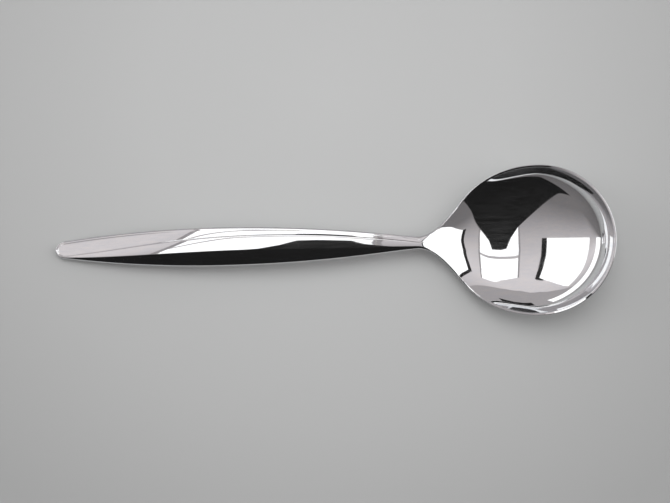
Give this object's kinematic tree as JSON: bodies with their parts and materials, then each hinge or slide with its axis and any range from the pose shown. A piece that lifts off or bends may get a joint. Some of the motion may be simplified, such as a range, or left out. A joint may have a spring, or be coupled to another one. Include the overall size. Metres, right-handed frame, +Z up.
{
  "type": "teaspoon",
  "caption": "Mirror-polished steel teaspoon with a broad round bowl, a slim neck and an arched leaf-shaped handle with an off-centre crease.",
  "frame": {"origin": "on the table under the middle of the spoon's length and width, with the spoon lying bowl up", "axes": "+X along the spoon towards the tip of the bowl, +Y across it, +Z up out of the open bowl"},
  "size_m": [0.14, 0.0376, 0.0163],
  "materials": {
    "bowl_steel": "mirror-polished stainless steel",
    "handle_steel": "mirror-polished stainless steel",
    "braze_silver": "silver brazing filler, ground flush and polished"
  },
  "bodies": {
    "root": {"bowl": "bowl_steel", "handle": "handle_steel", "braze_ring": "braze_silver"}
  },
  "joints": []
}
